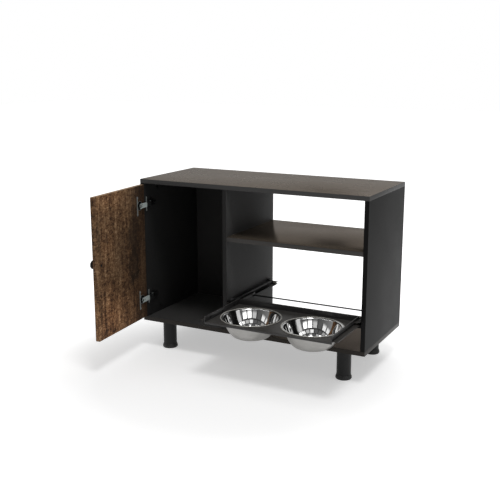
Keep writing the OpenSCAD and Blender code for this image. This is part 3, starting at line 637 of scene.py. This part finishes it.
def bowl(name, body, node, cx):
    """pressed bowl: dished base with a stand ring, swelling side, flat rim and a rolled bead"""
    bm = bmesh.new()

    def side(i, d):
        u = 4.5 * i / 55
        m = 3.2145 * u ** 1.6
        q = math.sqrt(1 + m * m)
        return (44 + 4.5 * i - d * m / q, -69.2 + 68 * u ** 2.6 + d / q)

    outside = [(0, -68.2), (20, -68.2), (34, -68.2), (36, -68.45), (38, -68.95), (40, -69.15), (44, -69.2)]
    outside += [side(k / 4, 0) for k in range(1, 49)]
    rim = [(98.75, -2.4), (99.05, -1.1), (99.7, -0.3), (100.6, 0.03), (105.4, 0.03)]
    bead = [(107.0 + 1.5 * math.cos(math.radians(a)), 1.56 + 1.5 * math.sin(math.radians(a))) for a in range(-100, 161, 20)]
    inner_rim = [(104.6, 1.75), (101.9, 1.55), (100.0, 1.35), (98.9, 0.75), (98.15, -0.5), (97.6, -2.3)]
    inside = [side(k / 4, 1.0) for k in range(48, 0, -1)]
    inside += [(44, -68.15), (40, -68.1), (38, -67.9), (36, -67.4), (34, -67.2), (20, -67.2), (0, -67.2)]
    lathe(bm, outside + rim + bead + inner_rim + inside, (cx, 120 - 200, 105), 160)
    bmesh.ops.remove_doubles(bm, verts=bm.verts, dist=0.0005)
    obj = finish_piece(name, bm, body, "mirror_steel", (node,), None, 50)
    # brushed outside and rim, mirror inside
    obj.data.materials.append(M["satin_steel"])
    obj.data.materials.append(M["rim_steel"])
    mid = to_frame @ Vector((cx, 120 - 200, 105))
    for poly in obj.data.polygons:
        d = poly.center - mid
        out = Vector((d.x, d.y, 0)).length
        facing = poly.normal.x * d.x + poly.normal.y * d.y
        under = poly.normal.z < -0.2 or (facing > 0 and out > 0.05)
        poly.material_index = 2 if out > 0.1035 and d.z > -0.0008 else 1 if under else 0
    return obj


bowl("left_bowl", "bowl_left", "left_bowl", 509)
bowl("right_bowl", "bowl_right", "right_bowl", 742)

# ---------------------------------------------------------------- floor, light
floor_mesh = bpy.data.meshes.new("floor")
bm = bmesh.new()
for x, y in ((-14, -12), (14, -12), (14, 16), (-14, 16)):
    bm.verts.new((x, y, 0.0))
bm.faces.new(bm.verts)
bm.to_mesh(floor_mesh)
bm.free()
floor = bpy.data.objects.new("floor", floor_mesh)
bpy.context.scene.collection.objects.link(floor)
fm = Nodes("floor_paper")
paper = fm.noise(fm.co, 300, 3.0, 0.6)
floor_mesh.materials.append(fm.put(fm.ramp(paper, [(0.3, 0.86), (0.7, 0.90)]), 0.95, specular=0.05))
# painted light: the floor glows, evenly for all rays to lift the shadows on it, and more for camera rays, rising
# further with distance from the cabinet
fm.bsdf.inputs["Emission Color"].default_value = (1.0, 1.0, 1.0, 1.0)
spot = fm.new("ShaderNodeVectorMath", operation="DISTANCE")
fm.link(fm.co, spot.inputs[0])
spot.inputs[1].default_value = (0.0, -0.1, 0.0)
far_glow = fm.new("ShaderNodeMapRange")
fm.link(spot.outputs["Value"], far_glow.inputs["Value"])
for key, v in (("From Min", 0.5), ("From Max", 1.3), ("To Min", 0.0), ("To Max", 0.5)):
    far_glow.inputs[key].default_value = v
seen = fm.new("ShaderNodeLightPath")
base = fm.math("MULTIPLY_ADD", seen.outputs["Is Camera Ray"], 0.12, 0.30)
fm.link(fm.math("MULTIPLY_ADD", far_glow.outputs["Result"], seen.outputs["Is Camera Ray"], base), fm.bsdf.inputs["Emission Strength"])

# the room: white where it is seen directly, dim in reflections, even for soft light
world = bpy.data.worlds.new("studio")
bpy.context.scene.world = world
world.use_nodes = True
wt = world.node_tree
bg = wt.nodes["Background"]


def wnode(kind, **values):
    n = wt.nodes.new(kind)
    for k, v in values.items():
        setattr(n, k, v)
    return n


def wmath(op, a, b):
    n = wnode("ShaderNodeMath", operation=op)
    for i, v in enumerate((a, b)):
        if isinstance(v, (int, float)):
            n.inputs[i].default_value = v
        else:
            wt.links.new(v, n.inputs[i])
    return n.outputs[0]


path = wnode("ShaderNodeLightPath")
direction = wnode("ShaderNodeTexCoord").outputs["Generated"]
dot = wnode("ShaderNodeVectorMath", operation="DOT_PRODUCT")
wt.links.new(direction, dot.inputs[0])
dot.inputs[1].default_value = (-0.46, 0.89, 0.0)
gloss = wnode("ShaderNodeMapRange")
wt.links.new(dot.outputs["Value"], gloss.inputs["Value"])
gloss.inputs["From Min"].default_value = -1.0
gloss.inputs["From Max"].default_value = 1.0
gloss.inputs["To Min"].default_value = 0.05
gloss.inputs["To Max"].default_value = 0.38
# panes of light in the upper half of the room, by compass direction and height
way = wnode("ShaderNodeSeparateXYZ")
wt.links.new(direction, way.inputs[0])
turn = wmath("MULTIPLY", wmath("ARCTAN2", way.outputs["Y"], way.outputs["X"]), 1.6)
rise = wmath("MULTIPLY", wmath("ARCSINE", way.outputs["Z"], 0.0), 1.9)
both = wnode("ShaderNodeCombineXYZ")
wt.links.new(turn, both.inputs["X"])
wt.links.new(rise, both.inputs["Y"])
panes = wnode("ShaderNodeTexBrick", offset=0.37, squash=1.0)
wt.links.new(both.outputs[0], panes.inputs["Vector"])
for key, v in (("Scale", 1.0), ("Mortar Size", 0.07), ("Mortar Smooth", 0.1), ("Bias", -0.1), ("Brick Width", 0.62), ("Row Height", 0.52)):
    panes.inputs[key].default_value = v
panes.inputs["Color1"].default_value = (0.10, 0.10, 0.10, 1)
panes.inputs["Color2"].default_value = (2.3, 2.3, 2.3, 1)
panes.inputs["Mortar"].default_value = (0.04, 0.04, 0.04, 1)
high = wnode("ShaderNodeMapRange")
wt.links.new(way.outputs["Z"], high.inputs["Value"])
high.inputs["From Min"].default_value = 0.30
high.inputs["From Max"].default_value = 0.36
mirror_level = wnode("ShaderNodeMix", data_type="FLOAT")
wt.links.new(high.outputs["Result"], mirror_level.inputs[0])
wt.links.new(gloss.outputs["Result"], mirror_level.inputs[2])
wt.links.new(panes.outputs["Color"], mirror_level.inputs[3])
level = wmath("ADD", wmath("MULTIPLY", path.outputs["Is Camera Ray"], 1.0),
              wmath("MULTIPLY", wmath("SUBTRACT", 1.0, path.outputs["Is Camera Ray"]),
                    wmath("ADD", wmath("MULTIPLY", path.outputs["Is Glossy Ray"], mirror_level.outputs[0]),
                          wmath("MULTIPLY", wmath("SUBTRACT", 1.0, path.outputs["Is Glossy Ray"]), 0.34))))
bg.inputs["Color"].default_value = (1.0, 1.0, 1.0, 1.0)
wt.links.new(level, bg.inputs["Strength"])


def area(name, loc, target, size, power, size_y=None, color=(1, 1, 1)):
    d = bpy.data.lights.new(name, "AREA")
    d.shape = "RECTANGLE"
    d.size = size
    d.size_y = size_y or size
    d.energy = power
    d.color = color
    o = bpy.data.objects.new(name, d)
    bpy.context.scene.collection.objects.link(o)
    o.location = loc
    o.rotation_euler = (Vector(target) - Vector(loc)).to_track_quat("-Z", "Y").to_euler()
    return o


area("key_box", (1.60, -1.50, 5.6), (0.0, 0.0, 0.1), 1.45, 84, 1.45)
area("back_box", (0.5, 1.9, 2.4), (0, 0, 0.3), 1.6, 14, 1.2)
area("top_box", (-0.5, 0.5, 2.8), (0, 0, 0.3), 1.3, 6, 1.3)
area("side_box", (2.9, -0.3, 1.5), (0.4, 0.0, 0.4), 0.9, 2, 1.5)
